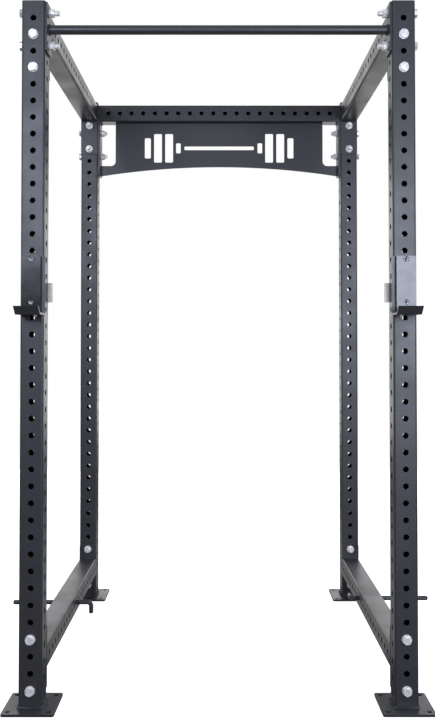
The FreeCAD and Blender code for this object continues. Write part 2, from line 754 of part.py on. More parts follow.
def socket_screw(cup, name, height):
    """A socket screw whose head sits in the liner and whose tip ends inside the back plate."""
    seat = "(cup_gap + cup_plate_thick + liner_thick - counterbore_depth)"
    tip = "(cup_gap + 1)"
    head = solid("Part::Cylinder", name + "_head", Radius="screw_head_dia / 2")
    bind(head, "Height", "screw_head_height")
    shank = solid("Part::Cylinder", name + "_shank", Radius="screw_dia / 2")
    bind(shank, "Height", "%s - %s" % (seat, tip))
    place(shank, "0", "0", "-(%s - %s)" % (seat, tip))
    socket = solid("Part::Prism", name + "_socket", Height="screw_socket_depth")
    bind(socket, "Circumradius", "screw_socket / 2 / cos(30)")
    place(socket, "0", "0", "screw_head_height - screw_socket_depth")
    blank = union(name + "_blank", [head, shank])
    screw = boolean("Part::Cut", name, blank, socket)
    place(screw, "0", "-" + seat, height, ROTATION(X_AXIS, 90))
    return screw


def cup_screws(cup):
    """Two liner screws from the front and one cradle screw from below."""
    upper = socket_screw(cup, cup.name("upper_screw"), "upper_screw_rise")
    lower = socket_screw(cup, cup.name("lower_screw"), "-lower_screw_drop")
    name = cup.name("cradle_screw")
    head = solid("Part::Cylinder", name + "_head", Radius="cradle_screw_head / 2")
    bind(head, "Height", "cradle_screw_rise")
    place(head, "0", "0", "-cradle_screw_rise")
    shank = solid("Part::Cylinder", name + "_shank", Radius="cradle_screw_dia / 2")
    bind(shank, "Height", "cradle_screw_grip")
    below = union(name, [head, shank])
    place(below, cup.across("cradle_screw_side"), "-cradle_screw_reach", "-cup_drop")
    screws = doc.addObject("Part::Compound", cup.name("screws"))
    screws.Links = [upper, lower, below]
    return cup.settle(screws, "screws")


# ---------------------------------------------------------------- the whole cage


def uprights_and_feet():
    for depth_name, y in [("front", FRONT_Y), ("rear", REAR_Y)]:
        for side, sign in [("left", "-"), ("right", "")]:
            x = sign + HALF_WIDTH
            upright("upright_%s_%s" % (depth_name, side), x, y)
            base_plate("base_plate_%s_%s" % (depth_name, side), x, y)
            cap("cap_%s_%s" % (depth_name, side), x, y)


def side_beams(patterns):
    """The upper and lower beams between the front and rear uprights."""
    lying = ROTATION(X_AXIS, -90)
    start_y = "%s - %s / 2" % (MIDDLE_Y, BEAM_LENGTH)
    lower_z = hole_row_z(LAST_ROW + " - 1.5")
    upper_top = "(%s + tube_side / 2)" % BEAM_Z
    upper_end = "(%s - upper_flange_margin)" % hole_row_z(UPPER_ROWS[-1])
    upper_flange_z = "((%s + %s) / 2)" % (upper_top, upper_end)
    upper_height = "(%s - %s)" % (upper_top, upper_end)
    lower_height = "(3 * hole_pitch + 2 * lower_flange_margin)"
    levels = [
        ("upper", BEAM_Z, upper_flange_z, upper_height, UPPER_ROWS),
        ("lower", lower_z, lower_z, lower_height, LOWER_ROWS),
    ]
    front_spots = []
    rear_spots = []
    for level, centre_z, flange_z, height, rows in levels:
        for side, sign in [("left", "-"), ("right", "")]:
            x = sign + HALF_WIDTH
            beam("side_beam_%s_%s" % (level, side), BEAM_LENGTH, "YZ_Plane", x, start_y, centre_z, lying)
            front_end = "%s + tube_side / 2 + flange_thick" % FRONT_Y
            rear_end = "%s - tube_side / 2" % REAR_Y
            flange_pair(
                "side_beam_flanges_%s_%s" % (level, side),
                "XZ_Plane",
                height,
                "flange_thick",
                flange_z,
                [(x, front_end), (x, rear_end)],
                [hole_row_z(row) for row in rows],
            )
            for row in rows:
                front_spots.append((x, FRONT_Y, hole_row_z(row), -Y_AXIS))
                rear_spots.append((x, REAR_Y, hole_row_z(row), Y_AXIS))
    fasten("front_beam", patterns, "flange_thick", front_spots)
    fasten("rear_beam", patterns, "flange_thick", rear_spots)


def crossbeam_and_header(patterns):
    lying = ROTATION(Y_AXIS, 90)
    half = "(%s / 2)" % CROSSBEAM_LENGTH
    beam("rear_crossbeam", CROSSBEAM_LENGTH, "XZ_Plane", "-" + half, REAR_Y, BEAM_Z, lying)
    flange_height = "(tube_side + %s + header_flange_margin)" % header_height()
    flange_z = "(%s + tube_side / 2 - %s / 2)" % (BEAM_Z, flange_height)
    ends = [("-%s / 2" % CLEAR_WIDTH, REAR_Y), (half, REAR_Y)]
    heights = [side_row_z(row) for row in CROSSBEAM_ROWS]
    label = "rear_crossbeam_flanges"
    thick = "header_flange_thick"
    flange_pair(label, "YZ_Plane", flange_height, thick, flange_z, ends, heights)
    header_plate("header_plate")
    spots = []
    for height in heights:
        spots.append(("-" + HALF_WIDTH, REAR_Y, height, -X_AXIS))
        spots.append((HALF_WIDTH, REAR_Y, height, X_AXIS))
    fasten("crossbeam", patterns, thick, spots)


def bar_and_flanges(patterns):
    half = "(%s / 2)" % BAR_LENGTH
    heights = [side_row_z(row) for row in BAR_ROWS]
    ends = [("-%s / 2" % CLEAR_WIDTH, FRONT_Y), (half, FRONT_Y)]
    pull_up_bar("pull_up_bar")
    label = "pull_up_bar_flanges"
    thick = "flange_thick"
    height = "(2 * hole_pitch + 2 * bar_flange_margin)"
    flange_pair(label, "YZ_Plane", height, thick, side_row_z(1), ends, heights)
    spots = []
    for height in heights:
        spots.append(("-" + HALF_WIDTH, FRONT_Y, height, -X_AXIS))
        spots.append((HALF_WIDTH, FRONT_Y, height, X_AXIS))
    fasten("pull_up_bar", patterns, thick, spots)


def cups_and_pins():
    for side, inward in [("left", 1), ("right", -1)]:
        cup = Cup(side, inward)
        cup_bracket(cup)
        cup_pin(cup)
        cup_front_liner(cup)
        cup_cradle_liner(cup)
        cup_guide_pad(cup)
        cup_screws(cup)
    left_x = "-(%s + left_rod_overhang)" % HALF_WIDTH
    right_x = "%s + right_rod_overhang" % HALF_WIDTH
    facing_in = ROTATION(-X_AXIS, -Z_AXIS, -Y_AXIS, "XYZ")
    storage_pin("storage_pin_left", left_x, "left_rod_hole", UPRIGHT)
    storage_pin("storage_pin_right", right_x, "right_rod_hole", facing_in)


def check_and_export():
    for item in doc.Objects:
        if "Invalid" in item.State or "Error" in item.State:
            raise RuntimeError("%s failed: %s" % (item.Name, item.State))
    for node in nodes:
        if node.Shape.isNull() or not node.Shape.isValid() or not node.Shape.Solids:
            raise RuntimeError("%s has no valid solid" % node.Label)
    os.makedirs("parts", exist_ok=True)
    for node in nodes:
        node.Shape.exportStep("parts/%s.step" % node.Label)
    print("%d nodes written" % len(nodes))


fill_sheet()
fastener_kinds = fastener_patterns()
uprights_and_feet()
side_beams(fastener_kinds)
crossbeam_and_header(fastener_kinds)
bar_and_flanges(fastener_kinds)
cups_and_pins()
doc.recompute()
check_and_export()
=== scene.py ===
import json
import math

import bmesh
import bpy
from mathutils import Matrix, Vector


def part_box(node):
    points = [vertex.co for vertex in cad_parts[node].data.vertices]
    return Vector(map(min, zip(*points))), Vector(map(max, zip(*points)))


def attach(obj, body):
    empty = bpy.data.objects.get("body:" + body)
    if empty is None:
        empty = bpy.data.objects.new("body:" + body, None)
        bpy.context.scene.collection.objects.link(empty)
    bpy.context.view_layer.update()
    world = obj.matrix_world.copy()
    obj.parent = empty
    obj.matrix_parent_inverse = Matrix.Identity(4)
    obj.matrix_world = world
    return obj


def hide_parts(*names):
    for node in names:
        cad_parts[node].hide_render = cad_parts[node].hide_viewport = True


# Power cage in a white studio. The CAD nodes keep their shapes; plates and cups get softened
# edges, the hardware gets chamfers and threads, and weld beads run where pieces are joined.
# Everything is in metres in the row frame: +Z up, -Y the open front.

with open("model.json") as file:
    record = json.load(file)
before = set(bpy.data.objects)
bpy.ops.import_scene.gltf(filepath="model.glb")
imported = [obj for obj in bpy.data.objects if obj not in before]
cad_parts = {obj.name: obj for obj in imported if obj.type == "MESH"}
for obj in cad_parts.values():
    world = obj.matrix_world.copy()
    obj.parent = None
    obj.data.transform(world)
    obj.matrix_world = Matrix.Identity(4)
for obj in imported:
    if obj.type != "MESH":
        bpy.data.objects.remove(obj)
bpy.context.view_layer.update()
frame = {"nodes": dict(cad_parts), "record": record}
SLOT_OF = {row["node"]: row["material_slot"] for row in frame["record"]["subparts"]}
BODY_OF = {
    node: body for body, nodes in frame["record"]["behaviour"]["bodies"].items() for node in nodes
}
MM = 0.001
SIDES = ("left", "right")
X, Y, Z = Vector((1, 0, 0)), Vector((0, 1, 0)), Vector((0, 0, 1))

# ------------------------------------------------------------------ camera

LENS_MM = 42.75
SENSOR_MM = 36.0
CAMERA_PLACE = (0.006, -3.096, 1.090)
CAMERA_PITCH = math.radians(1.344)
CAMERA_SHIFT = (-0.00417, -0.0550)
CAMERA_REACH = 60


def add_camera():
    data = bpy.data.cameras.new("camera")
    data.lens = LENS_MM
    data.sensor_width = SENSOR_MM
    data.shift_x, data.shift_y = CAMERA_SHIFT
    data.clip_end = CAMERA_REACH
    camera = bpy.data.objects.new("camera", data)
    camera.location = CAMERA_PLACE
    camera.rotation_euler = (math.pi / 2 + CAMERA_PITCH, 0, 0)
    bpy.context.scene.collection.objects.link(camera)
    bpy.context.scene.camera = camera


# ------------------------------------------------------------------ stage and lights

WHITE = (1, 1, 1)
COOL = (0.76, 0.82, 1.0)
# The studio seen by the object: each is a height, 0 straight down and 1 straight up, and the
# colour there.
ROOM_LOW = (0.30, (0.08, 0.08, 0.08))
ROOM_HIGH = (0.95, (0.30, 0.30, 0.34))
FLOOR_REACH = 12
FLOOR_DROP = 0.5 * MM
FLOOR_GREY = 0.8
FLOOR_ROUGHNESS = 0.9
FLOOR_GLOW = 0.85
# Name, place, what it aims at, size, watts and colour.
LIGHTS = [
    ("overhead", (0, -2.2, 4.3), (0, -0.4, 0.6), (1.6, 1.2), 9, (0.96, 0.98, 1.0)),
    ("tall_left", (-1.25, -3.6, 2.15), (-0.55, -0.5, 1.6), (0.9, 0.9), 56, COOL),
    ("tall_right", (1.25, -3.6, 1.45), (0.55, -0.5, 1.2), (0.9, 1.2), 80, COOL),
    ("behind", (0, 4.2, 1.4), (0, 0, 1.2), (5, 2.2), 68, WHITE),
    ("behind_high", (0, 4.2, 3.4), (0, 0, 1.9), (3.2, 1.3), 22, WHITE),
    ("side_left", (-4.6, 0.4, 1.9), (0, 0, 1.0), (2.6, 2.0), 46, WHITE),
    ("side_right", (4.6, 0.4, 1.9), (0, 0, 1.0), (2.6, 2.0), 46, WHITE),
    ("bounce", (0, 0.9, 0.02), (0, 0.9, 2), (1.0, 2.2), 3, WHITE),
]


def add_world():
    """White where the camera looks; for the object, a studio that is brighter overhead."""
    world = bpy.data.worlds.new("studio")
    bpy.context.scene.world = world
    world.use_nodes = True
    tree = world.node_tree
    tree.nodes.clear()
    out = tree.nodes.new("ShaderNodeOutputWorld")
    pick = tree.nodes.new("ShaderNodeMixShader")
    path = tree.nodes.new("ShaderNodeLightPath")
    white = tree.nodes.new("ShaderNodeBackground")
    white.inputs["Color"].default_value = (*WHITE, 1)
    room = tree.nodes.new("ShaderNodeBackground")
    where = tree.nodes.new("ShaderNodeTexCoord")
    split = tree.nodes.new("ShaderNodeSeparateXYZ")
    ramp = tree.nodes.new("ShaderNodeValToRGB")
    height = tree.nodes.new("ShaderNodeMapRange")
    height.inputs["From Min"].default_value = -1
    for stop, (position, colour) in zip(ramp.color_ramp.elements, (ROOM_LOW, ROOM_HIGH)):
        stop.position = position
        stop.color = (*colour, 1)
    link = tree.links.new
    link(where.outputs["Generated"], split.inputs[0])
    link(split.outputs["Z"], height.inputs["Value"])
    link(height.outputs[0], ramp.inputs["Fac"])
    link(ramp.outputs["Color"], room.inputs["Color"])
    link(path.outputs["Is Camera Ray"], pick.inputs["Fac"])
    link(room.outputs[0], pick.inputs[1])
    link(white.outputs[0], pick.inputs[2])
    link(pick.outputs[0], out.inputs["Surface"])


def area_light(name, place, target, size, power, colour):
    data = bpy.data.lights.new(name, "AREA")
    data.shape = "RECTANGLE"
    data.size, data.size_y = size
    data.energy = power
    data.color = colour
    light = bpy.data.objects.new(name, data)
    light.location = place
    aim = Vector(target) - Vector(place)
    light.rotation_euler = aim.to_track_quat("-Z", "Y").to_euler()
    light.visible_camera = False
    bpy.context.scene.collection.objects.link(light)


def add_stage():
    """A white floor that neither lights the object nor shows in its reflections."""
    mesh = bpy.data.meshes.new("floor")
    bm = bmesh.new()
    bmesh.ops.create_grid(bm, x_segments=1, y_segments=1, size=FLOOR_REACH)
    bm.to_mesh(mesh)
    bm.free()
    floor = bpy.data.objects.new("floor", mesh)
    floor.location = (0, 0, -FLOOR_DROP)
    bpy.context.scene.collection.objects.link(floor)
    material, _, shader = new_material("floor", (FLOOR_GREY,) * 3, FLOOR_ROUGHNESS)
    shader.inputs["Emission Color"].default_value = (*WHITE, 1)
    shader.inputs["Emission Strength"].default_value = FLOOR_GLOW
    mesh.materials.append(material)
    floor.visible_glossy = False
    floor.visible_diffuse = False


# ------------------------------------------------------------------ materials

# Noise scales, from patches as wide as a tube down to the grain of a surface.
POWDER_PATCHES, POWDER_PEEL, POWDER_SPECKS, POWDER_GRAIN = 9, 170, 420, 900
PLASTIC_PATCHES, PLASTIC_BLOTCHES, PLASTIC_MARKS, PLASTIC_GRAIN = 25, 60, 500, 1500
METAL_SMEARS, METAL_GRAIN = 300, 1400
# Depths of the surface's relief.
PEEL_DEPTH = 0.12 * MM
SPECK_DEPTH = 0.07 * MM
MARK_DEPTH = 0.03 * MM
GRAIN_DEPTH = 0.02 * MM
# Noise detail: smooth for relief, more for the smears on metal.
SMOOTH, PLAIN, SMEARED = 2, 3, 4
# The part of a noise's values that is mapped onto a range; the few beyond it go past its ends.
NOISE_MIDDLE = (0.3, 0.7)


def new_material(name, colour, roughness, metallic=0.0):
    material = bpy.data.materials.new(name)
    material.use_nodes = True
    shader = material.node_tree.nodes["Principled BSDF"]
    shader.inputs["Base Color"].default_value = (*colour, 1)
    shader.inputs["Roughness"].default_value = roughness
    shader.inputs["Metallic"].default_value = metallic
    return material, material.node_tree, shader


def noise(tree, scale, detail=PLAIN, stretch=(1, 1, 1)):
    """A noise in the object's own coordinates, in metres."""
    where = tree.nodes.new("ShaderNodeTexCoord")
    mapping = tree.nodes.new("ShaderNodeMapping")
    mapping.inputs["Scale"].default_value = stretch
    texture = tree.nodes.new("ShaderNodeTexNoise")
    texture.inputs["Detail"].default_value = detail
    texture.inputs["Scale"].default_value = scale
    tree.links.new(where.outputs["Object"], mapping.inputs["Vector"])
    tree.links.new(mapping.outputs["Vector"], texture.inputs["Vector"])
    return texture.outputs["Fac"]


def spread(tree, value, low, high):
    """Maps the middle of a noise onto a range."""
    node = tree.nodes.new("ShaderNodeMapRange")
    node.inputs["From Min"].default_value, node.inputs["From Max"].default_value = NOISE_MIDDLE
    node.inputs["To Min"].default_value = low
    node.inputs["To Max"].default_value = high
    tree.links.new(value, node.inputs["Value"])
    return node.outputs["Result"]


def tint(tree, shader, texture, dark, light):
    """Colours the surface between two shades."""
    mix = tree.nodes.new("ShaderNodeMix")
    mix.data_type = "RGBA"
    mix.inputs["A"].default_value = (*dark, 1)
    mix.inputs["B"].default_value = (*light, 1)
    tree.links.new(spread(tree, texture, 0, 1), mix.inputs["Factor"])
    tree.links.new(mix.outputs["Result"], shader.inputs["Base Color"])


def roughen(tree, shader, texture, rough):
    """Varies the roughness over a range."""
    tree.links.new(spread(tree, texture, *rough), shader.inputs["Roughness"])


def bump(tree, shader, layers):
    """Stacks (height, distance in metres) layers into the normal."""
    normal = None
    for height, distance in layers:
        node = tree.nodes.new("ShaderNodeBump")
        node.inputs["Distance"].default_value = distance
        tree.links.new(height, node.inputs["Height"])
        if normal is not None:
            tree.links.new(normal, node.inputs["Normal"])
        normal = node.outputs["Normal"]
    tree.links.new(normal, shader.inputs["Normal"])


def powder_coat(name, dark, light, rough):
    material, tree, shader = new_material(name, dark, rough[0])
    tint(tree, shader, noise(tree, POWDER_SPECKS), dark, light)
    roughen(tree, shader, noise(tree, POWDER_PATCHES), rough)
    bump(tree, shader, [
        (noise(tree, POWDER_PEEL, SMOOTH), PEEL_DEPTH),
        (noise(tree, POWDER_GRAIN, SMOOTH), SPECK_DEPTH),
    ])
    return material


def metal(name, dark, light, rough, metallic, blotches, detail):
    material, tree, shader = new_material(name, dark, rough[0], metallic)
    tint(tree, shader, noise(tree, blotches, detail), dark, light)
    roughen(tree, shader, noise(tree, METAL_SMEARS, SMEARED), rough)
    bump(tree, shader, [(noise(tree, METAL_GRAIN, SMOOTH), GRAIN_DEPTH)])
    return material


def plastic(name, dark, light, rough, lines=None, specular=0.5):
    """Moulded or machined plastic; lines is the stretch of its faint tool marks."""
    material, tree, shader = new_material(name, dark, rough[0])
    shader.inputs["Specular IOR Level"].default_value = specular
    tint(tree, shader, noise(tree, PLASTIC_BLOTCHES), dark, light)
    roughen(tree, shader, noise(tree, PLASTIC_PATCHES), rough)
    layers = [(noise(tree, PLASTIC_GRAIN, SMOOTH), GRAIN_DEPTH)]
    if lines:
        layers.append((noise(tree, PLASTIC_MARKS, SMOOTH, lines), MARK_DEPTH))
    bump(tree, shader, layers)
    return material


def make_materials():
    """One material for each slot: darkest and lightest colour, then its range of roughness."""
    return {
        "powder_coat": powder_coat(
            "powder_coat", (0.021, 0.0215, 0.0235), (0.034, 0.035, 0.038), (0.36, 0.46)
        ),
        "cup_steel": powder_coat(
            "cup_steel", (0.029, 0.029, 0.031), (0.043, 0.043, 0.045), (0.34, 0.44)
        ),
        "zinc": metal(
            "zinc", (0.64, 0.62, 0.59), (0.99, 0.96, 0.91), (0.30, 0.46),
            metallic=0.4, blotches=130, detail=SMEARED,
        ),
        "pin_steel": powder_coat(
            "pin_steel", (0.016, 0.016, 0.018), (0.03, 0.03, 0.033), (0.32, 0.42)
        ),
        "cap_plastic": plastic(
            "cap_plastic", (0.014, 0.014, 0.015), (0.024, 0.024, 0.026), (0.45, 0.55)
        ),
        "liner_plastic": plastic(
            "liner_plastic", (0.012, 0.012, 0.013), (0.020, 0.020, 0.021), (0.15, 0.22),
            lines=(1, 1, 0.04), specular=0.3,
        ),
        "pad_plastic": plastic(
            "pad_plastic", (0.58, 0.52, 0.465), (0.66, 0.60, 0.54), (0.40, 0.52)
        ),
        # The dark colour here is painted shade: it stands in for the shade in the deep recesses
        # of the liner screws.
        "screw_steel": metal(
            "screw_steel", (0.16, 0.16, 0.17), (0.30, 0.30, 0.31), (0.34, 0.5),
            metallic=1.0, blotches=200, detail=PLAIN,
        ),
    }


# ------------------------------------------------------------------ mesh helpers

SHARP_ANGLE = math.radians(32)
# Points nearer than this are one point: in a CAD mesh, where its solids are told apart, and
# where a ring of faces closes on itself.
CAD_MERGE = 2e-6
ISLAND_MERGE = 1e-6
SEAM_MERGE = 1e-7
# In millimetres: keeps places that are whole quarters of a millimetre away from where rounding
# changes, so that the order of a node's solids is the same on every run.
ORDER_SHIFT = 0.1


def add_piece(name, bm, slot, body, smooth=True):
    mesh = bpy.data.meshes.new(name)
    bmesh.ops.recalc_face_normals(bm, faces=bm.faces)
    bm.to_mesh(mesh)
    bm.free()
    piece = bpy.data.objects.new(name, mesh)
    bpy.context.scene.collection.objects.link(piece)
    if smooth:
        mesh.shade_smooth()
        mesh.set_sharp_from_angle(angle=SHARP_ANGLE)
    mesh.materials.append(MATERIALS[slot])
    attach(piece, body)
    return piece


def cad_copy(node, merge):
    """A node's mesh with its doubled points merged."""
    bm = bmesh.new()
    bm.from_mesh(frame["nodes"][node].data)
    bmesh.ops.remove_doubles(bm, verts=bm.verts, dist=merge)
    return bm


def solid_facts(points):
    """Lowest corner, highest corner and middle."""
    low = Vector([min(p[i] for p in points) for i in range(3)])
    high = Vector([max(p[i] for p in points) for i in range(3)])
    return low, high, (low + high) / 2


def place_key(points):
    """Sorts solids by their places, to the millimetre."""
    return tuple(round(v / MM + ORDER_SHIFT) for v in solid_facts(points)[2])


def islands(node):
    """The points of each solid of a node, in the order of the solids' places."""
    bm = cad_copy(node, ISLAND_MERGE)
    left = set(bm.verts)
    found = []
    while left:
        stack = [left.pop()]
        points = []
        while stack:
            vert = stack.pop()
            points.append(vert.co.copy())
            for edge in vert.link_edges:
                other = edge.other_vert(vert)
                if other in left:
                    left.remove(other)
                    stack.append(other)
        found.append(points)
    bm.free()
    found.sort(key=place_key)
    return found


def rings(bm, loops, closed_ends=True):
    """Skins a stack of equal closed loops of points."""
    rows = [[bm.verts.new(point) for point in loop] for loop in loops]
    count = len(rows[0])
    for low, high in zip(rows, rows[1:]):
        for i in range(count):
            j = (i + 1) % count
            bm.faces.new((low[i], low[j], high[j], high[i]))
    if closed_ends:
        bm.faces.new(list(reversed(rows[0])))
        bm.faces.new(rows[-1])
    return rows


def turned(turn, loops):
    return [[turn @ point for point in loop] for loop in loops]


# ------------------------------------------------------------------ softened CAD plates

# Bevel widths in millimetres, and the nodes that get them.
SOFT_NODES = {
    0.8: [
        "base_plate_front_left", "base_plate_front_right",
        "base_plate_rear_left", "base_plate_rear_right",
    ],
    0.7: [
        "side_beam_flanges_upper_left", "side_beam_flanges_upper_right",
        "side_beam_flanges_lower_left", "side_beam_flanges_lower_right",
        "rear_crossbeam_flanges", "pull_up_bar_flanges", "header_plate",
        "jcup_left_bracket", "jcup_right_bracket",
        "jcup_left_cradle_liner", "jcup_right_cradle_liner",
        "jcup_left_front_liner", "jcup_right_front_liner",
    ],
    1.2: ["cap_front_left", "cap_front_right", "cap_rear_left", "cap_rear_right"],
}
FLAT_ANGLE = math.radians(0.5)
BEVEL_ANGLE = math.radians(40)
BEVEL_SEGMENTS = 2
NORMALS_WEIGHT = 100


def soften(node, width):
    """A copy of a CAD node with rounded edges, which stands for it."""
    bm = cad_copy(node, CAD_MERGE)
    bmesh.ops.dissolve_limit(
        bm, angle_limit=FLAT_ANGLE, verts=bm.verts, edges=bm.edges, delimit={"NORMAL"}
    )
    slot = SLOT_OF[node]
    piece = add_piece(node + "_edged", bm, slot, BODY_OF[node], smooth=False)
    bevel = piece.modifiers.new("edges", "BEVEL")
    bevel.width = width * MM
    bevel.segments = BEVEL_SEGMENTS
    bevel.limit_method = "ANGLE"
    bevel.angle_limit = BEVEL_ANGLE
    piece.data.shade_smooth()
    normals = piece.modifiers.new("normals", "WEIGHTED_NORMAL")
    normals.weight = NORMALS_WEIGHT
    normals.keep_sharp = True
    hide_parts(node)


# ------------------------------------------------------------------ bolts, nuts and washers

# Each group of hardware, and the row axis that it runs along.
HARDWARE_AXES = (("front_beam", 1), ("rear_beam", 1), ("crossbeam", 0), ("pull_up_bar", 0))
HEX_SIDES = 48
WASHER_SIDES = 48
THREAD_SIDES = 24
THREAD_PITCH = 2.0 * MM
THREAD_DEPTH = 0.75 * MM
THREAD_RINGS = 4
THREAD_LENGTH = 30 * MM
THREAD_FADE_TURNS = 2.0
POINT_CHAMFER = 1.6 * MM
HEAD_HEIGHT = 10 * MM
HEAD_STEP = 0.5 * MM
HEAD_DISH = 0.35 * MM
# Radii of a head's rings as shares of its flats: under it, its washer face, its rim, then the
# edge and the floor of the dish in its top.
HEAD_UNDER, WASHER_FACE, HEAD_RIM, DISH_RIM, DISH_FLOOR = 0.46, 0.475, 0.48, 0.40, 0.38
SHANK_SINK = 0.2 * MM
CHAMFER_ANGLE = math.radians(30)
CHAMFER_START = 0.96
NUT_MOUTH = (1.0 * MM, 1.2 * MM)
WASHER_EDGE = 0.35 * MM
# How far each piece happened to be turned when it was tightened.
SPINS = [0.35, 0.9, 0.12, 0.62, 0.5, 0.21, 0.78, 1.0]
END_MARGIN = 1e-5


def circle(radius, height, count):
    step = math.tau / count
    return [
        Vector((radius * math.cos(i * step), radius * math.sin(i * step), height))
        for i in range(count)
    ]


def hex_loop(flats, height, cut=False, way=1):
    """A hexagon's outline, dropped where a chamfer cuts its corners."""
    points = []
    for i in range(HEX_SIDES):
        angle = math.tau * i / HEX_SIDES
        radius = flats / 2 / math.cos((angle % (math.pi / 3)) - math.pi / 6)
        drop = 0
        if cut:
            drop = max(0.0, radius - flats / 2 * CHAMFER_START) * math.tan(CHAMFER_ANGLE)
        points.append(
            Vector((radius * math.cos(angle), radius * math.sin(angle), height - way * drop))
        )
    return points


def bolt_mesh(bm, turn, radius, flats, length):
    """Head above z = 0, shank below it, with a rolled thread and a chamfered point."""
    top = HEAD_HEIGHT
    rings(bm, turned(turn, [
        circle(flats * HEAD_UNDER, 0, HEX_SIDES),
        circle(flats * WASHER_FACE, HEAD_STEP, HEX_SIDES),
        hex_loop(flats, HEAD_STEP),
        hex_loop(flats, top, cut=True),
        circle(flats * HEAD_RIM, top, HEX_SIDES),
        circle(flats * DISH_RIM, top, HEX_SIDES),
        circle(flats * DISH_FLOOR, top - HEAD_DISH, HEX_SIDES),
    ]))
    start = -(length - THREAD_LENGTH)
    loops = [circle(radius, -SHANK_SINK, THREAD_SIDES), circle(radius, start, THREAD_SIDES)]
    count = round(THREAD_LENGTH / THREAD_PITCH * THREAD_RINGS)
    for ring in range(1, count + 1):
        z = start - ring * THREAD_PITCH / THREAD_RINGS
        to_point = (count - ring) * THREAD_PITCH / THREAD_RINGS
        fade = min(1.0, ring / (THREAD_FADE_TURNS * THREAD_RINGS))
        limit = radius - max(0.0, POINT_CHAMFER - to_point)
        loop = []
        for i in range(THREAD_SIDES):
            angle = math.tau * i / THREAD_SIDES
            phase = (ring / THREAD_RINGS + i / THREAD_SIDES) % 1.0
            groove = THREAD_DEPTH * (1 - abs(2 * phase - 1)) * fade
            r = min(radius - groove, limit)
            loop.append(Vector((r * math.cos(angle), r * math.sin(angle), z)))
        loops.append(loop)
    rings(bm, turned(turn, loops))


def ring_mesh(bm, turn, loops):
    """Skins loops that end where they began, such as a nut's or a washer's."""
    rings(bm, turned(turn, loops), closed_ends=False)
    bmesh.ops.remove_doubles(bm, verts=bm.verts, dist=SEAM_MERGE)


def nut_mesh(bm, turn, bore, outside, height):
    mouth, depth = NUT_MOUTH
    ring_mesh(bm, turn, [
        circle(bore, depth, HEX_SIDES),
        circle(bore + mouth, 0, HEX_SIDES),
        circle(outside * WASHER_FACE, 0, HEX_SIDES),
        hex_loop(outside, 0, cut=True, way=-1),
        hex_loop(outside, height, cut=True),
        circle(outside * WASHER_FACE, height, HEX_SIDES),
        circle(bore + mouth, height, HEX_SIDES),
        circle(bore, height - depth, HEX_SIDES),
        circle(bore, depth, HEX_SIDES),
    ])


def washer_mesh(bm, turn, bore, outside, height):
    edge = WASHER_EDGE
    rim = outside / 2
    ring_mesh(bm, turn, [
        circle(bore, edge, WASHER_SIDES),
        circle(bore + edge, 0, WASHER_SIDES),
        circle(rim - edge, 0, WASHER_SIDES),
        circle(rim, edge, WASHER_SIDES),
        circle(rim, height - edge, WASHER_SIDES),
        circle(rim - edge, height, WASHER_SIDES),
        circle(bore + edge, height, WASHER_SIDES),
        circle(bore, height - edge, WASHER_SIDES),
        circle(bore, edge, WASHER_SIDES),
    ])


def way_matrix(origin, axis, sign, spin):
    """Stands a piece at a point, along a row axis, and turns it about that axis."""
    way = Vector((0, 0, 0))
    way[axis] = sign
    turn = way.to_track_quat("Z", "Y").to_matrix().to_4x4()
    return Matrix.Translation(origin) @ turn @ Matrix.Rotation(spin, 4, "Z")


def detailed_bolts(group, axis):
    bm = bmesh.new()
    u, v = [i for i in range(3) if i != axis]
    for index, points in enumerate(islands(group + "_bolts")):
        low, high, middle = solid_facts(points)
        reach = [
            max(abs(p[u] - middle[u]) for p in points if abs(p[axis] - end) < END_MARGIN)
            for end in (low[axis], high[axis])
        ]
        sign = -1 if reach[0] > reach[1] else 1
        seat = middle.copy()
        seat[axis] = (low[axis] + HEAD_HEIGHT) if sign < 0 else (high[axis] - HEAD_HEIGHT)
        turn = way_matrix(seat, axis, sign, SPINS[index % len(SPINS)])
        flats = min(high[i] - low[i] for i in (u, v))
        bolt_mesh(bm, turn, min(reach), flats, high[axis] - low[axis] - HEAD_HEIGHT)
    piece = add_piece(group + "_bolts_threaded", bm, "zinc", BODY_OF[group + "_bolts"])
    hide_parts(group + "_bolts")


def detailed_rings(group, axis, kind, build):
    """The nuts or the washers of one group."""
    bm = bmesh.new()
    u, v = [i for i in range(3) if i != axis]
    for index, points in enumerate(islands(group + "_" + kind)):
        low, high, middle = solid_facts(points)
        bore = min(math.hypot(p[u] - middle[u], p[v] - middle[v]) for p in points)
        outside = min(high[i] - low[i] for i in (u, v))
        seat = middle.copy()
        seat[axis] = low[axis]
        turn = way_matrix(seat, axis, 1, SPINS[(index * 3 + 1) % len(SPINS)])
        build(bm, turn, bore, outside, high[axis] - low[axis])
    piece = add_piece(group + "_" + kind + "_edged", bm, "zinc", BODY_OF[group + "_" + kind])
    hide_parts(group + "_" + kind)


def hardware(group, axis):
    """Detailed bolts, nuts and washers for one group, which run along one row axis."""
    detailed_bolts(group, axis)
    detailed_rings(group, axis, "nuts", nut_mesh)
    detailed_rings(group, axis, "washers", washer_mesh)


def cup_screws(side):
    """The liner screws are steel, coloured dark as painted shade for the deep recesses they sit
    in; the one under the hook is zinc plated.
    """
    node = "jcup_%s_screws" % side
    bm = cad_copy(node, CAD_MERGE)
    under_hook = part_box("jcup_%s_cradle_liner" % side)[1].z
    for face in bm.faces:
        face.material_index = 1 if face.calc_center_median().z < under_hook else 0
    piece = add_piece(node + "_turned", bm, "screw_steel", BODY_OF[node])
    piece.data.materials.append(MATERIALS["zinc"])
    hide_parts(node)


# ------------------------------------------------------------------ welds

TUBE_CORNER = 6 * MM
CORNER_STEPS = 4
BASE_BEAD = 5.2 * MM
BEAM_BEAD = 4 * MM
BAR_BEAD = 3.2 * MM
HEADER_BEAD = 2.6 * MM
STITCH_BEAD = 2.8 * MM
BEAM_WELD_INSET = 5 * MM
BAR_WELD_STEPS = 40
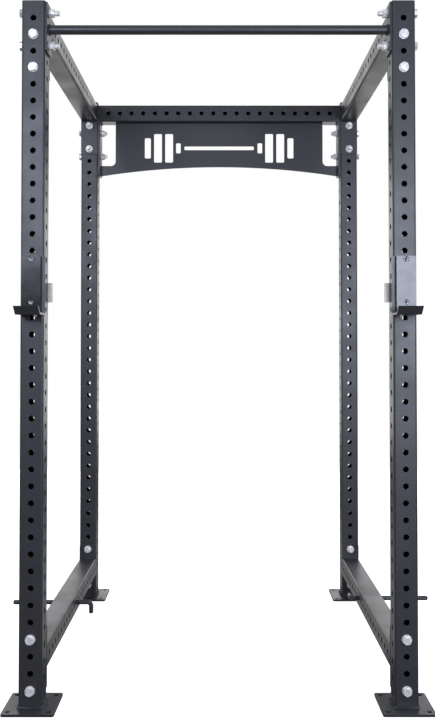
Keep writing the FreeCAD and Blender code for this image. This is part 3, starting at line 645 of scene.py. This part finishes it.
# The header's end welds, as heights above its lowest edge.
HEADER_WELD = (3 * MM, 41 * MM)
# The short welds along its top, at the back: the middle of each, and half its length.
STITCH_MIDDLES = [-0.39 + 0.13 * k for k in range(7)]
STITCH_HALF = 0.017
BEAD_POINTS = 9
BEAD_TURN = -math.pi / 4
BEAD_ROOT = 0.35
BEAD_END = 0.55
RIPPLE_PITCH = 2.6 * MM
RIPPLE = 0.10
RIPPLE_LAG = 2.4
# Slow waves in a bead's size: share of its radius, radians a metre, and where each starts.
WANDERS = ((0.06, 190, 0), (0.04, 61, 1))


def sample_path(points, closed, step):
    """Even points along a polyline."""
    legs = list(zip(points, points[1:] + ([points[0]] if closed else [])))
    total = sum((b - a).length for a, b in legs)
    count = max(4, round(total / step))
    out = []
    for k in range(count if closed else count + 1):
        want = total * k / count
        for a, b in legs:
            span = (b - a).length
            if want <= span + 1e-9:
                out.append(a.lerp(b, want / span if span else 0))
                break
            want -= span
    return out


def round_rect(centre, half, corner):
    """A square outline with round corners, level at a point."""
    points = []
    for quarter in range(4):
        su = 1 if quarter in (0, 3) else -1
        sv = 1 if quarter in (0, 1) else -1
        for k in range(CORNER_STEPS + 1):
            angle = math.pi / 2 * (quarter + k / CORNER_STEPS)
            points.append(
                centre
                + X * (su * (half - corner) + corner * math.cos(angle))
                + Y * (sv * (half - corner) + corner * math.sin(angle))
            )
    return points


def bead(bm, points, closed, radius, side, lift):
    """A rippled weld bead along a path. side gives the outward way of one wall at a point, and
    lift is that of the other: the bead's round face looks between them."""
    samples = sample_path(points, closed, RIPPLE_PITCH / 4)
    loops = []
    travelled = 0.0
    for k, point in enumerate(samples):
        if k:
            travelled += (point - samples[k - 1]).length
        out = side(point).normalized()
        wander = sum(size * math.sin(travelled * rate + start) for size, rate, start in WANDERS)
        loop = []
        for i in range(BEAD_POINTS):
            angle = BEAD_TURN + math.pi * i / (BEAD_POINTS - 1)
            lag = RIPPLE_LAG * abs(i / (BEAD_POINTS - 1) - 0.5)
            ripple = RIPPLE * math.sin(math.tau * travelled / RIPPLE_PITCH + lag)
            r = radius * (1 + wander + ripple)
            loop.append(point + out * (r * math.cos(angle)) + lift * (r * math.sin(angle)))
        loop.append(point - (out + lift) * (BEAD_ROOT * radius))
        loops.append(loop)
    if closed:
        rows = rings(bm, loops, closed_ends=False)
        first, last = rows[0], rows[-1]
        for i in range(len(first)):
            j = (i + 1) % len(first)
            bm.faces.new((last[i], last[j], first[j], first[i]))
    else:
        for end in (0, -1):
            middle = sum(loops[end], Vector()) / len(loops[end])
            loops[end] = [middle + (p - middle) * BEAD_END for p in loops[end]]
        rings(bm, loops)


def away_from(centre):
    return lambda point: point - centre


def straight_bead(bm, start, end, radius, out, lift):
    bead(bm, [Vector(start), Vector(end)], False, radius, lambda point: out, lift)


def box_of(node):
    """Lowest and highest corner of a node, and their middle."""
    low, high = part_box(node)
    low, high = Vector(low), Vector(high)
    return low, high, (low + high) / 2


def base_welds():
    """Round the foot of each upright, on its base plate."""
    bm = bmesh.new()
    for depth in ("front", "rear"):
        for side in SIDES:
            low, high, middle = box_of("upright_%s_%s" % (depth, side))
            foot = Vector((middle.x, middle.y, low.z))
            outline = round_rect(foot, (high.x - low.x) / 2, TUBE_CORNER)
            bead(bm, outline, True, BASE_BEAD, away_from(foot), Z)
    add_piece("base_welds", bm, "powder_coat", "frame")


def beam_welds():
    """Under the ends of the beams, and over those of the lower side beams."""
    bm = bmesh.new()
    inset = BEAM_WELD_INSET
    for side in SIDES:
        for level in ("upper", "lower"):
            low, high, _ = box_of("side_beam_%s_%s" % (level, side))
            edges = [(low.z, -Z)] + ([(high.z, Z)] if level == "lower" else [])
            for end, way in ((low.y, Y), (high.y, -Y)):
                for z, out in edges:
                    start, stop = (low.x + inset, end, z), (high.x - inset, end, z)
                    straight_bead(bm, start, stop, BEAM_BEAD, out, way)
    low, high, _ = box_of("rear_crossbeam")
    for end, way in ((low.x, X), (high.x, -X)):
        start, stop = (end, low.y + inset, low.z), (end, high.y - inset, low.z)
        straight_bead(bm, start, stop, BEAM_BEAD, -Z, way)
    add_piece("beam_welds", bm, "powder_coat", "frame")


def bar_welds():
    """Round each end of the pull-up bar, on its end plate."""
    bm = bmesh.new()
    low, high, middle = box_of("pull_up_bar")
    for end, way in ((low.x, X), (high.x, -X)):
        centre = Vector((end, middle.y, middle.z))
        ring = [
            centre + Y * p.x + Z * p.y for p in circle((high.z - low.z) / 2, 0, BAR_WELD_STEPS)
        ]
        bead(bm, ring, True, BAR_BEAD, away_from(centre), way)
    add_piece("bar_welds", bm, "powder_coat", "frame")


def header_welds():
    """Up the header's ends on both faces, and short ones along its top at the back."""
    bm = bmesh.new()
    low, high, _ = box_of("header_plate")
    foot, head = (low.z + height for height in HEADER_WELD)
    for end, way in ((low.x, X), (high.x, -X)):
        for face, out in ((low.y, -Y), (high.y, Y)):
            straight_bead(bm, (end, face, foot), (end, face, head), HEADER_BEAD, out, way)
    for middle in STITCH_MIDDLES:
        start = (middle - STITCH_HALF, high.y, high.z)
        stop = (middle + STITCH_HALF, high.y, high.z)
        straight_bead(bm, start, stop, STITCH_BEAD, Y, -Z)
    add_piece("header_welds", bm, "powder_coat", "frame")


# ------------------------------------------------------------------ build

add_camera()
add_world()
add_stage()
MATERIALS = make_materials()
for node, obj in frame["nodes"].items():
    obj.data.materials.clear()
    obj.data.materials.append(MATERIALS[SLOT_OF[node]])
for width, nodes in SOFT_NODES.items():
    for node in nodes:
        soften(node, width)
for group, axis in HARDWARE_AXES:
    hardware(group, axis)
for side in SIDES:
    cup_screws(side)
base_welds()
beam_welds()
bar_welds()
header_welds()
for row in LIGHTS:
    area_light(*row)

scene = bpy.context.scene
scene.view_settings.view_transform = "Standard"
scene.view_settings.look = "None"
